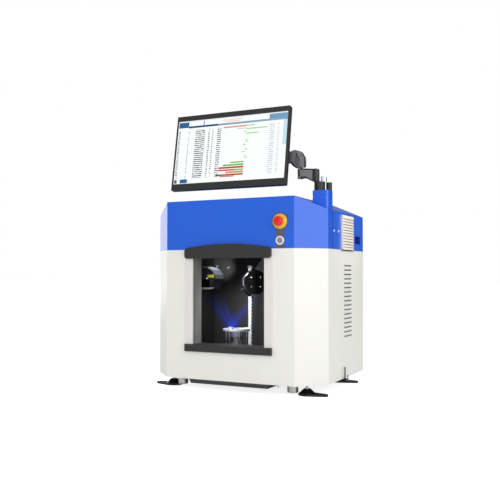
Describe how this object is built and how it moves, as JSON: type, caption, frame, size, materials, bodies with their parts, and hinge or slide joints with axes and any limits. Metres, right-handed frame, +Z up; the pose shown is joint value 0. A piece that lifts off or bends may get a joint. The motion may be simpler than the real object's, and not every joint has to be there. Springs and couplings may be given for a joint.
{
  "type": "benchtop three-dimensional scanner",
  "caption": "Benchtop optical three-dimensional scanner with a front sliding door, rotary table, two sensor heads and a monitor on a jointed arm.",
  "frame": {"origin": "middle of the four bench bolt holes in the foot lugs, on the bench surface", "axes": "+Z up, -Y towards the user in front of the doorway, +X to the user's right"},
  "size_m": [0.816, 0.6066, 1.1852],
  "materials": {
    "housing_white": "satin powder coat",
    "cover_blue": "satin powder coat",
    "grip_blue": "moulded",
    "frame_steel": "matt primer",
    "trim_grey": "satin",
    "guide_grey": "anodised",
    "door_dark": "fine texture",
    "leaf_smoke": "tinted sheet",
    "plate_dark": "satin",
    "collar_yellow": "moulded",
    "mushroom_red": "moulded",
    "steel_bright": "turned",
    "button_grey": "moulded",
    "contact_plastic": "moulded",
    "fan_beige": "moulded",
    "mat_fibre": "non-woven",
    "fan_black": "moulded",
    "cap_black": "moulded",
    "arm_grey": "cast, satin",
    "monitor_black": "fine texture",
    "screen_glass": "lit display",
    "liner_dark": "matt",
    "stage_black": "black anodised",
    "fixture_steel": "ground",
    "column_white": "satin",
    "head_arm_grey": "satin",
    "head_grey": "moulded",
    "cover_black": "moulded",
    "window_glass": "coated",
    "lens_glass": "coated lens",
    "foot_rubber": "glass-filled nylon",
    "tray_black": "satin",
    "bay_metal": "anodised"
  },
  "bodies": {
    "cabinet": {"base_plate": "frame_steel", "upper_frame": "frame_steel", "lower_housing": "housing_white", "top_cover": "cover_blue", "rear_panel": "housing_white", "side_grips": "grip_blue", "cover_screws": "steel_bright", "power_inlet": "contact_plastic", "door_guides": "guide_grey", "door_sill": "door_dark", "door_trims": "trim_grey", "control_plate": "plate_dark", "estop_collar": "collar_yellow", "start_bezel": "steel_bright", "contact_blocks": "contact_plastic", "fan_frame": "fan_beige", "fan_grille": "fan_beige", "filter_mat": "mat_fibre", "fan_body": "fan_black", "mast_tube": "cover_blue", "mast_cap": "cap_black", "clamp_knob": "steel_bright", "cable_cap": "cap_black", "chamber_liner": "liner_dark", "table_base": "stage_black", "column": "column_white", "head_arms": "head_arm_grey", "foot_pads": "foot_rubber", "foot_studs": "steel_bright", "support_bosses": "steel_bright", "base_tray": "tray_black", "side_bracket": "tray_black", "bay_units": "bay_metal"},
    "lower_leaf": {"door_leaf_lower": "leaf_smoke", "door_handle": "door_dark"},
    "upper_leaf": {"door_leaf_upper": "leaf_smoke"},
    "estop_plunger": {"estop_stem": "steel_bright"},
    "estop_mushroom": {"estop_head": "mushroom_red"},
    "start_key": {"start_button": "button_grey"},
    "rotor": {"fan_rotor": "fan_black"},
    "turntable": {"table_platter": "stage_black", "fixture_base": "fixture_steel", "fixture_posts": "fixture_steel", "fixture_ring": "fixture_steel"},
    "left_head": {"left_head_shell": "head_grey", "left_head_window": "window_glass", "left_head_lens": "lens_glass"},
    "right_head": {"right_head_drum": "head_grey", "right_head_cover": "cover_black", "right_head_lens": "lens_glass"},
    "arm_lower": {"lower_link": "arm_grey", "elbow_pin": "steel_bright"},
    "arm_elbow": {"elbow_knuckle": "arm_grey"},
    "arm_upper": {"upper_link": "arm_grey"},
    "arm_level": {"level_head": "arm_grey"},
    "arm_pan": {"pan_block": "arm_grey"},
    "monitor": {"mount_bracket": "arm_grey", "monitor_bezel": "monitor_black", "monitor_back": "monitor_black", "screen_panel": "screen_glass"}
  },
  "joints": [
    {"name": "door_lift", "type": "slide", "parent": "cabinet", "child": "lower_leaf", "axis": [0, 0, -1], "range_m": [0, 0.358]},
    {"name": "door_follow", "type": "slide", "parent": "cabinet", "child": "upper_leaf", "axis": [0, 0, -1], "range_m": [0, 0.179]},
    {"name": "estop_press", "type": "slide", "parent": "cabinet", "child": "estop_plunger", "axis": [0, 1, 0], "range_m": [0, 0.0045], "stiffness_N_per_m": 1500, "springref_m": -0.002},
    {"name": "estop_twist", "type": "hinge", "parent": "estop_plunger", "child": "estop_mushroom", "pos_m": [0.236, -0.3008, 0.695], "axis": [0, 1, 0], "range_deg": [0, 45], "stiffness_Nm_per_rad": 0.2},
    {"name": "start_press", "type": "slide", "parent": "cabinet", "child": "start_key", "axis": [0, 1, 0], "range_m": [0, 0.002], "stiffness_N_per_m": 800, "springref_m": -0.002},
    {"name": "fan_spin", "type": "hinge", "parent": "cabinet", "child": "rotor", "pos_m": [0.358, 0.0505, 0.6605], "axis": [1, 0, 0], "continuous": true},
    {"name": "table_turn", "type": "hinge", "parent": "cabinet", "child": "turntable", "pos_m": [-0.075, -0.062, 0.1405], "axis": [0, 0, 1], "continuous": true},
    {"name": "left_head_tilt", "type": "hinge", "parent": "cabinet", "child": "left_head", "pos_m": [-0.242, -0.136, 0.482], "axis": [0, 1, 0], "range_deg": [-8, 8]},
    {"name": "right_head_tilt", "type": "hinge", "parent": "cabinet", "child": "right_head", "pos_m": [0.03, -0.084, 0.45], "axis": [-0.6018, 0.7986, 0], "range_deg": [-12, 12]},
    {"name": "arm_swivel", "type": "hinge", "parent": "cabinet", "child": "arm_lower", "pos_m": [0.3385, -0.151, 0.861], "axis": [0, 0, 1], "range_deg": [-90, 90]},
    {"name": "elbow_swivel", "type": "hinge", "parent": "arm_lower", "child": "arm_elbow", "pos_m": [0.27, -0.151, 0.924], "axis": [0, 0, 1], "range_deg": [-90, 60]},
    {"name": "arm_lift", "type": "hinge", "parent": "arm_elbow", "child": "arm_upper", "pos_m": [0.25121, -0.14819, 0.972], "axis": [0.1478, 0.989, 0], "range_deg": [-7, 30]},
    {"name": "arm_level", "type": "hinge", "parent": "arm_upper", "child": "arm_level", "pos_m": [-0.00396, -0.11006, 0.972], "axis": [0.1478, 0.989, 0], "range_deg": [-30, 7]},
    {"name": "monitor_pan", "type": "hinge", "parent": "arm_level", "child": "arm_pan", "pos_m": [-0.03758, -0.10503, 0.972], "axis": [0, 0, 1], "range_deg": [-60, 1]},
    {"name": "monitor_tilt", "type": "hinge", "parent": "arm_pan", "child": "monitor", "pos_m": [-0.03656, -0.14402, 1.00554], "axis": [0.9997, 0.0262, 0], "range_deg": [-10, 12]}
  ],
  "couplings": [
    {"joint": "door_follow", "follows": "door_lift", "ratio": 0.5},
    {"joint": "arm_level", "follows": "arm_lift", "ratio": -1}
  ]
}
